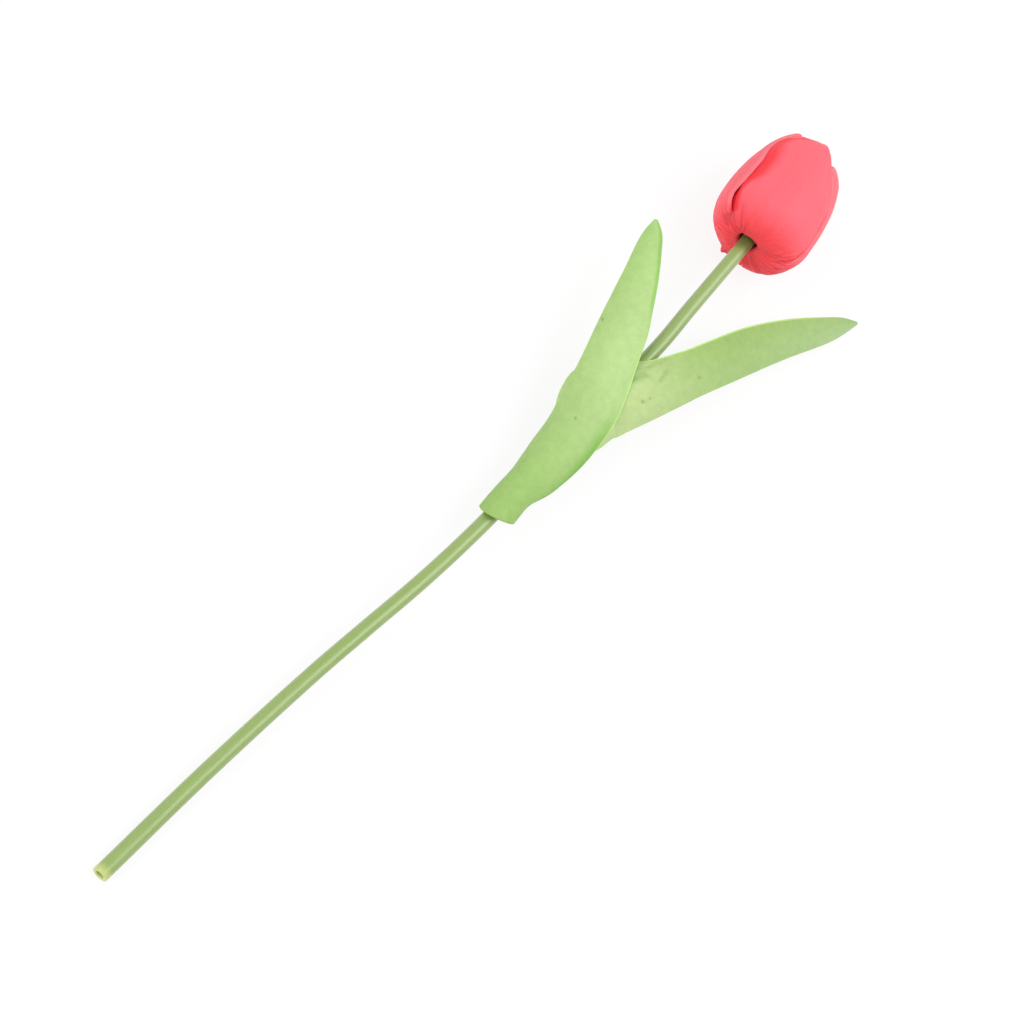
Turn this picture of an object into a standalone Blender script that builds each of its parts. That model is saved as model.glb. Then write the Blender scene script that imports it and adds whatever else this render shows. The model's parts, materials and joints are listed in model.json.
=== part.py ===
"""Artificial tulip on one wired stem, about a third of a metre long, lying on a table.

The flower is a hollow plastic stem with an iron wire in its bore, a bud of six moulded foam
petals glued round a core, and two moulded foam leaves whose sleeves clasp the stem one inside
the other. Metres, +Z up. +X runs along the stem from its cut end to the bud, +Y is the side of
the outer leaf, and the origin is the bottom centre of the whole flower's box.
"""

import bmesh
import bpy
from math import cos, degrees, radians, sin
from mathutils import Matrix, Vector

MM = 0.001

# Start of the stem's route on the table in the flower's frame, in metres.
ROUTE_START = Vector((-0.16383, 0.00737, 0.00008))

# The stem, in millimetres.
STEM_RADIUS = 2.35
STEM_BORE_RADIUS = 1.25
STEM_START = -1.5                          # where it was cut, measured along its route
STEM_LENGTH = 296.0
STEM_RISE = 0.0581                         # height gained for each millimetre towards the bud
STEM_ROUTE = (                             # distance along it, offset to the left
    (0, 0.0), (38, 0.15), (77, -0.75), (98, -1.9), (120, -3.2), (142, -3.6), (172, -2.93),
    (205, -2.45), (232, -1.6), (250, -0.15), (282, 2.45), (296, 3.5),
)
STEM_SIDES = 16
STEM_STEP = 8.5
WIRE_RADIUS = 0.7
WIRE_RECESS = 6.0                          # the wire ends this far inside the cut end
WIRE_END = 293.0
WIRE_SIDES = 8
WIRE_STEP = 14.0

# The leaves, in millimetres, in the frame of the straight run of stem that they clasp. Each row
# is: distance along that run, offset to the left, height of the crown over the stem's axis,
# width of the leaf laid flat, degrees that the section curls through, degrees it leans left.
LEAF_ORIGIN_ALONG = 149.5                  # distance along the stem's route
LEAF_THICKNESS = 0.85
LEAF_RIM_SHARE = 0.55                      # share of the thickness left at the rims
OUTER_LEAF = (
    (1.4, -0.95, 4.7, 33.2, 343, 0),
    (11, -0.4, 5.15, 32.6, 335, 0),
    (19, -1.1, 5.6, 28.4, 240, 0),
    (27, -1.15, 5.85, 25.8, 190, 0),
    (37, -0.55, 6.3, 22.0, 140, 2),
    (48, 2.0, 7.2, 21.1, 94, 6),
    (56, 4.75, 7.6, 19.8, 82, 9),
    (65, 8.2, 7.6, 18.3, 74, 12),
    (74.5, 11.8, 7.2, 17.0, 66, 15),
    (84, 15.6, 6.2, 14.5, 58, 17),
    (93.5, 19.3, 4.8, 11.9, 52, 19),
    (104, 23.8, 2.9, 8.5, 45, 20),
    (110.5, 26.4, 1.6, 5.7, 40, 20),
    (115.1, 28.5, 0.6, 1.0, 34, 20),
)
OUTER_MOUTH = (0.25, 0.6)                  # how far it runs back for each unit left, and up
INNER_LEAF = (
    (8, 0.0, 3.56, 20.82, 335, 0),
    (18, 0.0, 3.62, 20.9, 315, 0),
    (30, 0.0, 3.85, 22.0, 238, 0),
    (37, 0.0, 4.05, 23.6, 195, 0),
    (43, 0.2, 4.35, 25.2, 158, 0),
    (48, 0.9, 4.65, 26.8, 130, -1),
    (52.5, 1.0, 4.85, 28.9, 112, -4),
    (58, -2.4, 4.95, 25.9, 98, -9),
    (67.5, -8.4, 4.95, 19.4, 82, -15),
    (82, -14.0, 3.5, 16.0, 66, -20),
    (90, -16.6, 1.9, 15.6, 60, -22),
    (108, -22.4, -2.4, 15.0, 52, -24),
    (125, -28.9, -7.4, 12.5, 46, -26),
    (142, -36.3, -13.5, 8.6, 38, -27),
    (151, -39.8, -17.0, 5.2, 34, -28),
    (157, -42.4, -19.2, 0.8, 30, -28),
)
INNER_MOUTH = (0.0, 0.0)
MOUTH_RUN = 12.0                           # the mouth's slant fades out over this length
LEAF_RUN = 80.0                            # length of the straight run that sets the leaves' axis
LEAF_ROWS = 33
LEAF_COLUMNS = 18
LEAF_CROWDING = 1.15                       # rows stand closer together towards a leaf's tip
SLOPE_STEP = 5.0                           # each side of a section, for the run of its middle line

# The bud, in millimetres. Its own frame stands on the stem, Z along the bud's axis.
BUD_ALONG = 282.3                          # distance of the bud's foot along the stem's route
BUD_ASIDE = -1.45                          # how far its foot sits to the left of the stem's centre
BUD_TURN = 9.0                             # degrees its axis points left of the flower's +X
BUD_LIFT = 1.25                            # degrees its axis points up
OUTER_PROFILE = (                          # share of the way up the petal, radius, height
    (0.00, 3.1, 2.3), (0.05, 5.0, 1.1), (0.11, 9.1, 0.4), (0.19, 13.4, 2.8), (0.29, 16.7, 8.4),
    (0.41, 17.3, 15.9), (0.52, 16.9, 23.0), (0.64, 15.9, 30.4), (0.76, 14.0, 37.4),
    (0.88, 11.7, 43.2), (0.95, 9.4, 45.8), (1.00, 7.0, 47.2),
)
INNER_PROFILE = (
    (0.00, 6.8, 5.3), (0.15, 10.9, 9.5), (0.32, 13.6, 17.0), (0.47, 13.2, 24.2),
    (0.62, 12.0, 31.3), (0.77, 10.1, 37.4), (0.90, 6.6, 42.6), (1.00, 2.2, 45.4),
)
PROFILE_STEP = 0.02                        # share each side of a point, for the profile's run
CENTRED = (3.6, 9.5)                       # radii between which the foot leaves the stem's centre
OUTER_THICKNESS = 1.2
INNER_THICKNESS = 1.0
PETAL_RIM_SHARE = 0.5                      # share of the thickness left at the rims
PETAL_ROWS = 18
INNER_COLUMNS = 8
# Places across an outer petal from its middle to a rim, closer together where it laps.
FLANK_COLUMNS = (0.25, 0.47, 0.64, 0.75, 0.83, 0.89, 0.945, 1.0)
# Turns round the bud, in degrees from its upper side towards the inner leaf, at which two outer
# petals meet, by their share of the way up.
FRONT_TO_LEFT = (
    (0.00, -40), (0.09, -54), (0.16, -64.5), (0.23, -64), (0.28, -61), (0.32, -57.5),
    (0.38, -54.6), (0.46, -52.7), (0.53, -53), (0.61, -56.5), (0.71, -61.5), (0.79, -62.5),
    (0.85, -57), (0.92, -48), (1.00, -44),
)
FRONT_TO_RIGHT = (
    (0.00, 66), (0.10, 71), (0.157, 78), (0.208, 74.5), (0.25, 67.4), (0.30, 62), (0.37, 59.5),
    (0.45, 58.8), (0.52, 56.5), (0.57, 50.5), (0.61, 43), (0.65, 36), (0.70, 29.5), (0.76, 23.7),
    (0.83, 18), (1.00, 15),
)
RIGHT_TO_LEFT = (
    (0.00, 187), (0.16, 190), (0.27, 188), (0.36, 182), (0.50, 178), (0.65, 180), (0.80, 188),
    (1.00, 195),
)
SEAM = 0.55                                # gap between the outer petals where they are glued
LAP = 11.0                                 # degrees that a flank reaches under its neighbour
LAP_START = (0.14, 0.23)                   # shares of the petal over which the laps grow
TUCK_DEPTH = 1.9                           # how far a flank dips to pass under its neighbour
TUCK_SPAN = (-3.4, 0.6)                    # where it dips, measured past the neighbour's rim
TUCK_START = (0.04, 0.12)
LIP_FLARE = 0.25                           # how far an edge that lies on top lifts off
LIP_SPAN = (-5.0, -1.5)
PETAL_CROWDING = 1.25                      # rows stand closer together towards a petal's tip
# Name, its middle's turn, where it meets the petal before it and whether it lies over that one,
# the same for the petal after it, and its top line: places across it and the shares it ends at.
OUTER_PETALS = (
    ("outer_petal_front", 7, (FRONT_TO_LEFT, False), (FRONT_TO_RIGHT, False), (
        (-1.0, 0.86), (-0.9, 0.875), (-0.76, 0.87), (-0.6, 0.85), (-0.43, 0.852), (-0.26, 0.865),
        (-0.1, 0.895), (0.0, 0.896), (0.1, 0.884), (0.23, 0.868), (0.5, 0.825), (0.75, 0.78),
        (1.0, 0.74))),
    ("outer_petal_right", 127, (FRONT_TO_RIGHT, True), (RIGHT_TO_LEFT, False), (
        (-1.0, 0.768), (-0.76, 0.77), (-0.65, 0.765), (-0.53, 0.80), (-0.36, 0.89), (0.0, 0.97),
        (0.58, 0.93), (0.85, 0.88), (1.0, 0.84))),
    ("outer_petal_left", 247, (RIGHT_TO_LEFT, True), (FRONT_TO_LEFT, True), (
        (-1.0, 0.84), (-0.85, 0.88), (-0.65, 0.93), (0.0, 0.97), (0.29, 0.93), (0.49, 0.89),
        (0.69, 0.872), (0.9, 0.878), (1.0, 0.872))),
)
INNER_PETALS = (
    ("inner_petal_right", 67),
    ("inner_petal_back", 187),
    ("inner_petal_left", 307),
)
INNER_REACH = 55.0                         # degrees an inner petal spans each side of its middle
# Where an inner petal starts to narrow, how squarely its tip is rounded, and the degrees that
# its tip spans each side of its middle.
INNER_TIP = (0.60, 2.5, 6.0)
CORE_PROFILE = (                           # radius, height, from the top down
    (0.0, 20.5), (2.4, 19.8), (3.9, 18.2), (5.0, 14.2), (5.6, 9.0), (5.3, 5.4), (4.5, 4.0),
    (0.0, 4.0),
)
CORE_STEPS = 20
SOCKET_CLEARANCE = 0.35                    # round the stem and past its end

WELD = 0.01                                # millimetres within which turned points are one
SHEET_CREASE = 60.0                        # degrees past which an edge is shaded sharp
STEM_CREASE = 40.0

# Finishes: colour as linear red, green and blue, then roughness and metallic.
FINISHES = {
    "stem": ((0.34, 0.50, 0.13), 0.38, 0.0),
    "wire": ((0.52, 0.54, 0.56), 0.40, 1.0),
    "core": ((0.42, 0.03, 0.03), 0.90, 0.0),
    "outer_petal": ((0.93, 0.10, 0.13), 0.55, 0.0),
    "inner_petal": ((0.84, 0.06, 0.09), 0.60, 0.0),
    "outer_leaf": ((0.39, 0.62, 0.20), 0.65, 0.0),
    "inner_leaf": ((0.42, 0.60, 0.24), 0.65, 0.0),
}


def ease(value, start, end):
    """Climbs smoothly from 0 at start to 1 at end."""
    u = min(max((value - start) / (end - start), 0.0), 1.0)
    return u * u * (3 - 2 * u)


def through(stations, position):
    """Reads a smooth curve through stations, whose first value is the position along it."""
    last = len(stations) - 1
    place = next((i for i in range(last) if position <= stations[i + 1][0]), last - 1)

    def slope(index, value):
        before = stations[max(index - 1, 0)]
        after = stations[min(index + 1, last)]
        return (after[value] - before[value]) / (after[0] - before[0])

    start, end = stations[place], stations[place + 1]
    span = end[0] - start[0]
    u = (position - start[0]) / span
    blend = u * u * (3 - 2 * u)
    values = []
    for value in range(1, len(start)):
        leave = u * (1 - u) ** 2 * slope(place, value)
        arrive = u * u * (u - 1) * slope(place + 1, value)
        values.append(start[value] * (1 - blend) + end[value] * blend + (leave + arrive) * span)
    return values


def stem_point(distance):
    """Centre of the stem at a distance along its route, in the flower's frame."""
    (left,) = through(STEM_ROUTE, distance)
    return ROUTE_START + Vector((distance, left, STEM_RADIUS + STEM_RISE * distance)) * MM


def stem_points(start, end, step):
    count = round((end - start) / step)
    return [stem_point(start + (end - start) * i / count) for i in range(count + 1)]


def frame_matrix(x_axis, y_axis, z_axis, origin):
    """Frame with the given axes and origin, as a matrix."""
    axes = Matrix((x_axis, y_axis, z_axis)).transposed().to_4x4()
    return Matrix.Translation(origin) @ axes


def leaf_frame():
    """Frame of the straight run of stem: X along it, Y to the left, Z up."""
    start = stem_point(LEAF_ORIGIN_ALONG)
    along = (stem_point(LEAF_ORIGIN_ALONG + LEAF_RUN) - start).normalized()
    left = Vector((0, 0, 1)).cross(along).normalized()
    return frame_matrix(along, left, along.cross(left), start)


def bud_frame():
    """Frame at the foot of the bud: Z along its axis, X towards its upper side."""
    turn, lift = radians(BUD_TURN), radians(BUD_LIFT)
    axis = Vector((cos(turn) * cos(lift), sin(turn) * cos(lift), sin(lift)))
    upper = (Vector((0, 0, 1)) - axis * axis.z).normalized()
    foot = stem_point(BUD_ALONG) + Vector((0, BUD_ASIDE * MM, 0))
    return frame_matrix(upper, axis.cross(upper), axis, foot)


def finish(name):
    """Makes the named finish once and hands it out."""
    if name in bpy.data.materials:
        return bpy.data.materials[name]
    colour, roughness, metallic = FINISHES[name]
    material = bpy.data.materials.new(name)
    material.use_nodes = True
    shader = material.node_tree.nodes["Principled BSDF"]
    shader.inputs["Base Color"].default_value = (*colour, 1.0)
    shader.inputs["Roughness"].default_value = roughness
    shader.inputs["Metallic"].default_value = metallic
    material.diffuse_color = (*colour, 1.0)
    return material


def add_piece(name, data, collection, parent, finish_name):
    """Puts mesh or curve data into the scene as one sub-part."""
    piece = bpy.data.objects.new(name, data)
    collection.objects.link(piece)
    piece.parent = parent
    data.materials.append(finish(finish_name))
    return piece


def add_axis(name, matrix, collection):
    """Adds an empty that carries the pieces built in its frame."""
    axis = bpy.data.objects.new(name, None)
    collection.objects.link(axis)
    axis.empty_display_size = 0.01
    axis.matrix_world = matrix
    return axis


def add_sheet(name, rows, weights, thickness, rim_share, collection, parent, finish_name):
    """Lofts rows of points into a sheet and thickens it towards its hollow side.

    The weights run from 0, where the sheet has only rim_share of its thickness, to 1.
    """
    across = len(rows[0])
    corners = [i * across + j for i in range(len(rows) - 1) for j in range(across - 1)]
    faces = [(k, k + across, k + across + 1, k + 1) for k in corners]
    mesh = bpy.data.meshes.new(name)
    mesh.from_pydata([point * MM for row in rows for point in row], [], faces)
    mesh.shade_smooth()
    mesh.set_sharp_from_angle(angle=radians(SHEET_CREASE))
    sheet = add_piece(name, mesh, collection, parent, finish_name)
    group = sheet.vertex_groups.new(name="full_thickness")
    for index, weight in enumerate(weight for row in weights for weight in row):
        group.add([index], weight, "REPLACE")
    skin = sheet.modifiers.new("thickness", "SOLIDIFY")
    skin.thickness = thickness * MM
    skin.offset = -1.0
    skin.vertex_group = group.name
    skin.thickness_vertex_group = rim_share
    return sheet


def bar_curve(name, points, radius, sides, capped):
    """A round bar, or an open pipe, along a line of points."""
    curve = bpy.data.curves.new(name, "CURVE")
    curve.dimensions = "3D"
    curve.bevel_depth = radius * MM
    curve.bevel_resolution = (sides - 4) // 2
    curve.use_fill_caps = capped
    route = curve.splines.new("POLY")
    route.points.add(len(points) - 1)
    for place, point in zip(route.points, points):
        place.co = (*point, 1.0)
    return curve


def build_stem(collection):
    """The extruded stem: an open pipe along its route, thickened inwards to its wall."""
    points = stem_points(STEM_START, STEM_LENGTH, STEM_STEP)
    curve = bar_curve("stem_route", points, STEM_RADIUS, STEM_SIDES, capped=False)
    guide = bpy.data.objects.new("stem_route", curve)
    collection.objects.link(guide)
    bpy.context.view_layer.update()
    evaluated = guide.evaluated_get(bpy.context.evaluated_depsgraph_get())
    mesh = bpy.data.meshes.new_from_object(evaluated)
    bpy.data.objects.remove(guide)
    mesh.name = "stem_tube"
    mesh.shade_smooth()
    mesh.set_sharp_from_angle(angle=radians(STEM_CREASE))
    stem = add_piece("stem_tube", mesh, collection, None, "stem")
    wall = stem.modifiers.new("wall", "SOLIDIFY")
    wall.thickness = (STEM_RADIUS - STEM_BORE_RADIUS) * MM
    wall.offset = -1.0
    wall.use_even_offset = True


def build_wire(collection):
    """The iron wire in the stem's bore, which lets the stem be bent to shape."""
    points = stem_points(WIRE_RECESS, WIRE_END, WIRE_STEP)
    curve = bar_curve("stem_wire", points, WIRE_RADIUS, WIRE_SIDES, capped=True)
    add_piece("stem_wire", curve, collection, None, "wire")


def leaf_section(stations, along, mouth):
    """One section of a leaf: an arc square to its middle line, right rim to left rim."""
    first, last = stations[0][0], stations[-1][0]
    aside, lift, width, curl, lean = through(stations, along)
    behind, ahead = max(along - SLOPE_STEP, first), min(along + SLOPE_STEP, last)
    before, after = through(stations, behind), through(stations, ahead)
    tangent = Vector((ahead - behind, after[0] - before[0], after[1] - before[1])).normalized()
    level_side = Vector((0, 0, 1)).cross(tangent).normalized()
    level_crown = tangent.cross(level_side)
    side = level_side * cos(radians(lean)) - level_crown * sin(radians(lean))
    crown = level_crown * cos(radians(lean)) + level_side * sin(radians(lean))
    radius = width / radians(curl)
    slant = 1 - ease(along, first, first + MOUTH_RUN)
    section = []
    for j in range(LEAF_COLUMNS + 1):
        angle = radians(curl) * (j / LEAF_COLUMNS - 0.5)
        point = Vector((along, aside, lift)) + side * (radius * sin(angle))
        point += crown * (radius * (cos(angle) - 1))
        point.x -= slant * (mouth[0] * point.y + mouth[1] * point.z)
        section.append(point)
    return section


def build_leaf(name, stations, mouth, collection, parent):
    """A foam leaf moulded in one with the rolled sleeve that clasps the stem."""
    first, last = stations[0][0], stations[-1][0]
    rows, weights = [], []
    for i in range(LEAF_ROWS + 1):
        share = 1 - (1 - i / LEAF_ROWS) ** LEAF_CROWDING
        rows.append(leaf_section(stations, first + (last - first) * share, mouth))
        tip = (LEAF_ROWS - i) / 2
        weights.append([min(1, tip, min(j, LEAF_COLUMNS - j) / 2) for j in range(LEAF_COLUMNS + 1)])
    add_sheet(name, rows, weights, LEAF_THICKNESS, LEAF_RIM_SHARE, collection, parent, name)


def narrowed(reach, share, tip):
    """Narrows a petal's reach along a rounded outline, down to the width of its tip."""
    start, power, tip_reach = tip
    beyond = max(0.0, (share - start) / (1 - start))
    return max(reach * (1 - beyond**power) ** (1 / power), tip_reach)


def stem_aside(height):
    """Where the stem's centre lies in the bud's frame, at a height over the bud's foot."""
    centre = bud_frame().inverted() @ stem_point(BUD_ALONG + max(height, 0.0)) / MM
    return Vector((centre.x, centre.y, 0.0))


def petal_point(turn, radius, height):
    """A point of a petal. Near the foot the turning centre moves over to the stem."""
    point = Vector((radius * cos(radians(turn)), radius * sin(radians(turn)), height))
    if radius < CENTRED[1]:
        point += stem_aside(height) * (1 - ease(radius, *CENTRED))
    return point


def outer_profile_run(share):
    """The way the outer petals' profile runs at a share: outwards and up, as one unit."""
    behind = through(OUTER_PROFILE, max(share - PROFILE_STEP, 0.0))
    ahead = through(OUTER_PROFILE, min(share + PROFILE_STEP, 1.0))
    return (Vector(ahead) - Vector(behind)).normalized()


def outer_petal_point(share, middle, across, meeting, over):
    """A point of an outer petal, whose flank lies over or dips under the one beside it."""
    radius, height = through(OUTER_PROFILE, share)
    (meets,) = through(meeting, share)
    reach = abs((meets - middle + 180) % 360 - 180)
    apart = ease(share, *LAP_START)
    rim = reach - degrees(SEAM / 2 / radius) * (1 - apart)
    aside = abs(across) * (rim if over else rim + LAP * apart)
    past = radians(aside - reach) * radius
    if over:
        shift = LIP_FLARE * ease(past, *LIP_SPAN) * apart
    else:
        shift = -TUCK_DEPTH * ease(past, *TUCK_SPAN) * ease(share, *TUCK_START)
    turn = middle + (aside if across > 0 else -aside)
    outwards, up = outer_profile_run(share)
    return petal_point(turn, radius + shift * up, height - shift * outwards)


def outer_petal_columns(middle, before, after, tops):
    """The columns of points of an outer petal, from the flank after it to the flank before it."""
    places = [*reversed(FLANK_COLUMNS), 0.0, *(-place for place in FLANK_COLUMNS)]
    columns = []
    for across in places:
        (top,) = through(tops, across)
        meeting, over = after if across > 0 else before
        shares = [top * (1 - (1 - i / PETAL_ROWS) ** PETAL_CROWDING) for i in range(PETAL_ROWS + 1)]
        columns.append([outer_petal_point(s, middle, across, meeting, over) for s in shares])
    return columns


def inner_petal_row(share, middle):
    """One row of an inner petal, which stands alone inside the outer ones."""
    radius, height = through(INNER_PROFILE, share)
    reach = narrowed(INNER_REACH, share, INNER_TIP)
    turns = (middle + reach * (1 - 2 * j / INNER_COLUMNS) for j in range(INNER_COLUMNS + 1))
    return [petal_point(turn, radius, height) for turn in turns]


def petal_weights(columns, rim_columns):
    """Full thickness inside, thinner along the two flanks and the tip."""
    return [
        [min(1, min(j, columns - j) / rim_columns, (PETAL_ROWS - i) / 2) for j in range(columns + 1)]
        for i in range(PETAL_ROWS + 1)
    ]


def build_petals(collection, parent):
    """Three outer petals that lap over each other round three inner ones."""
    weights = petal_weights(2 * len(FLANK_COLUMNS), 3)
    for name, middle, before, after, tops in OUTER_PETALS:
        rows = list(zip(*outer_petal_columns(middle, before, after, tops)))
        add_sheet(
            name, rows, weights, OUTER_THICKNESS, PETAL_RIM_SHARE, collection, parent, "outer_petal")
    shares = [1 - (1 - i / PETAL_ROWS) ** PETAL_CROWDING for i in range(PETAL_ROWS + 1)]
    weights = petal_weights(INNER_COLUMNS, 1)
    for name, middle in INNER_PETALS:
        rows = [inner_petal_row(share, middle) for share in shares]
        add_sheet(
            name, rows, weights, INNER_THICKNESS, PETAL_RIM_SHARE, collection, parent, "inner_petal")


def socket_cutter(collection):
    """A round bar along the end of the stem, which cuts the core's blind socket."""
    start, end = stem_point(BUD_ALONG), stem_point(STEM_LENGTH)
    shape = bmesh.new()
    radius = (STEM_RADIUS + SOCKET_CLEARANCE) * MM
    depth = 2 * ((end - start).length + SOCKET_CLEARANCE * MM)
    bmesh.ops.create_cone(
        shape, cap_ends=True, segments=STEM_SIDES, radius1=radius, radius2=radius, depth=depth)
    mesh = bpy.data.meshes.new("stem_socket")
    shape.to_mesh(mesh)
    shape.free()
    cutter = bpy.data.objects.new("stem_socket", mesh)
    collection.objects.link(cutter)
    cutter.location = start
    cutter.rotation_euler = (end - start).to_track_quat("Z", "Y").to_euler()
    cutter.hide_render = True
    cutter.display_type = "WIRE"
    return cutter


def build_core(collection, cutters, parent):
    """The turned foam core that the petals are glued round, with a socket for the stem."""
    mesh = bpy.data.meshes.new("bud_core")
    points = [(radius * MM, 0.0, height * MM) for radius, height in CORE_PROFILE]
    mesh.from_pydata(points, [(i, i + 1) for i in range(len(points) - 1)], [])
    core = add_piece("bud_core", mesh, collection, parent, "core")
    turning = core.modifiers.new("turning", "SCREW")
    turning.steps = turning.render_steps = CORE_STEPS
    turning.use_merge_vertices = True
    turning.merge_threshold = WELD * MM
    turning.use_smooth_shade = True
    socket = core.modifiers.new("socket", "BOOLEAN")
    socket.operation = "DIFFERENCE"
    socket.solver = "EXACT"
    socket.object = socket_cutter(cutters)


def main():
    for old in list(bpy.data.objects):
        bpy.data.objects.remove(old, do_unlink=True)
    flower = bpy.data.collections.new("artificial_tulip")
    cutters = bpy.data.collections.new("cutters")
    bpy.context.scene.collection.children.link(flower)
    bpy.context.scene.collection.children.link(cutters)

    build_stem(flower)
    build_wire(flower)
    leaf_axis = add_axis("leaf_axis", leaf_frame(), flower)
    build_leaf("inner_leaf", INNER_LEAF, INNER_MOUTH, flower, leaf_axis)
    build_leaf("outer_leaf", OUTER_LEAF, OUTER_MOUTH, flower, leaf_axis)
    bud_axis = add_axis("bud_axis", bud_frame(), flower)
    build_core(flower, cutters, bud_axis)
    build_petals(flower, bud_axis)
    bpy.context.view_layer.update()


main()
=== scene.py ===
# %% [markdown]
# # An artificial tulip, dressed for a portrait
#
# The flower is one stem with a closed bud and two leaves, and almost all of it is soft moulded
# foam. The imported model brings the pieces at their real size, and this lesson gives them the fine
# surface that a faceted model has no room for: lips on the petals, wrinkles at the foot of the
# bud, thin pale rims on the leaves and the gloss of the plastic stem. Each step says what the
# real piece is, which ways there are to make it, and why one was chosen.

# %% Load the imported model
import json
from math import cos, pi, radians, sin

import bpy
import numpy as np
from mathutils import Matrix, Vector, noise


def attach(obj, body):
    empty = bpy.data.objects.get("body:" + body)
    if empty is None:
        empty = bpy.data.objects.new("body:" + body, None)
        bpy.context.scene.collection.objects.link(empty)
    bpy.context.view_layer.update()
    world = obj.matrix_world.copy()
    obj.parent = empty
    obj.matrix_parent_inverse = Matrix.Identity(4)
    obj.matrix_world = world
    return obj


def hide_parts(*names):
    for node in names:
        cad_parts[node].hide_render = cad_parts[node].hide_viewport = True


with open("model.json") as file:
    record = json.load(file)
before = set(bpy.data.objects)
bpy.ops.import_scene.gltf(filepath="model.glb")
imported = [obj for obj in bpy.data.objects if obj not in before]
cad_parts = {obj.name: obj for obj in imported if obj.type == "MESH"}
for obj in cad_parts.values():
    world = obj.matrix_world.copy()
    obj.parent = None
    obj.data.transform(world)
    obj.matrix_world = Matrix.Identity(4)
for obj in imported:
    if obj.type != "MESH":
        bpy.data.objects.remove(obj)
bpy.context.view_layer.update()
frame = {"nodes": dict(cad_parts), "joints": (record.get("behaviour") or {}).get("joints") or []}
MM = 0.001

# %% [markdown]
# ## Where things are
#
# Both halves of the work share one frame, so the few dimensions that place the stem, the leaves
# and the bud are repeated here in millimetres. The leaves turn about a joint that the model
# already states, so their frame is read from it and not typed again.

# %% The frames of the stem, the leaves and the bud
ROUTE_START = np.array((-163.83, 7.37, 0.08))
STEM_RADIUS = 2.35
STEM_BORE = 1.25
STEM_START = -1.5  # where it was cut, measured along its route
STEM_LENGTH = 296.0
STEM_RISE = 0.0581
STEM_ROUTE = (  # distance along it, offset to the left
    (0, 0.0), (38, 0.15), (77, -0.75), (98, -1.9), (120, -3.2), (142, -3.6), (172, -2.93),
    (205, -2.6), (232, -1.85), (250, -0.2), (282, 2.45), (296, 3.5),
)
BUD_ALONG = 282.3
BUD_ASIDE = -1.45
BUD_TURN = 9.0
BUD_LIFT = 1.25


def ease(value, start, end):
    """Climbs smoothly from 0 at start to 1 at end."""
    u = np.clip((np.asarray(value, float) - start) / (end - start), 0.0, 1.0)
    return u * u * (3 - 2 * u)


def through(stations, positions):
    """Reads a smooth curve through stations, whose first value is the position along it."""
    table = np.array(stations, float)
    at, values = table[:, 0], table[:, 1:]
    before = np.r_[0, np.arange(len(at) - 1)]
    after = np.r_[np.arange(1, len(at)), len(at) - 1]
    slopes = (values[after] - values[before]) / (at[after] - at[before])[:, None]
    positions = np.asarray(positions, float)
    place = np.clip(np.searchsorted(at[1:], positions), 0, len(at) - 2)
    span = (at[place + 1] - at[place])[:, None]
    u = ((positions - at[place]) / span[:, 0])[:, None]
    blend = u * u * (3 - 2 * u)
    leave = u * (1 - u) ** 2 * slopes[place]
    arrive = u * u * (u - 1) * slopes[place + 1]
    return values[place] * (1 - blend) + values[place + 1] * blend + (leave + arrive) * span


def unit(vectors):
    """The same directions with a length of 1."""
    return vectors / np.linalg.norm(vectors, axis=-1, keepdims=True)


def stem_points(distances):
    """Centres of the stem at distances along its route, in millimetres."""
    left = through(STEM_ROUTE, distances)[:, 0]
    height = STEM_RADIUS + STEM_RISE * distances
    return ROUTE_START + np.stack((distances, left, height), axis=1)


joint = next(j for j in frame["joints"] if j["name"] == "leaves_turn")
UP = np.array((0.0, 0.0, 1.0))
leaf_origin = np.array(joint["pos_m"]) / MM
leaf_along = unit(np.array(joint["axis"]))
leaf_left = unit(np.cross(UP, leaf_along))
leaf_up = np.cross(leaf_along, leaf_left)

turn, lift = radians(BUD_TURN), radians(BUD_LIFT)
bud_axis = np.array((cos(turn) * cos(lift), sin(turn) * cos(lift), sin(lift)))
bud_upper = unit(UP - bud_axis * bud_axis[2])
bud_right = np.cross(bud_axis, bud_upper)
bud_foot = stem_points(np.array([BUD_ALONG]))[0] + np.array((0.0, BUD_ASIDE, 0.0))
print("leaf axis", np.round(leaf_along, 3), "bud foot in mm", np.round(bud_foot, 1))

# %% [markdown]
# ## The camera
#
# The photographer stood over the cut end and looked along the stem from about 60 degrees above
# the table, with the camera rolled so that the flower runs from corner to corner. A camera can be
# aimed with a constraint or by setting its angles, but a roll is easiest to get right by writing
# down the three directions of the picture: its right, its up, and straight back at the viewer.

# %% Set up the camera
VIEW_ELEVATION = radians(60.0)
VIEW_ROLL = radians(44.2)
VIEW_DISTANCE = 590.7
FOCAL_PIXELS = 1979.0
PICTURE_PIXELS = 1024
SENSOR = 36.0
VIEW_TARGET = ROUTE_START + np.array((162.1, -7.0, 0.0))

back = Vector((-cos(VIEW_ELEVATION), 0.0, sin(VIEW_ELEVATION)))
level_up = Vector((sin(VIEW_ELEVATION), 0.0, cos(VIEW_ELEVATION)))
level_left = Vector((0.0, 1.0, 0.0))
picture_right = level_up * cos(VIEW_ROLL) - level_left * sin(VIEW_ROLL)
picture_up = level_up * sin(VIEW_ROLL) + level_left * cos(VIEW_ROLL)
aim = Matrix((picture_right, picture_up, back)).transposed().to_4x4()

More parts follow.
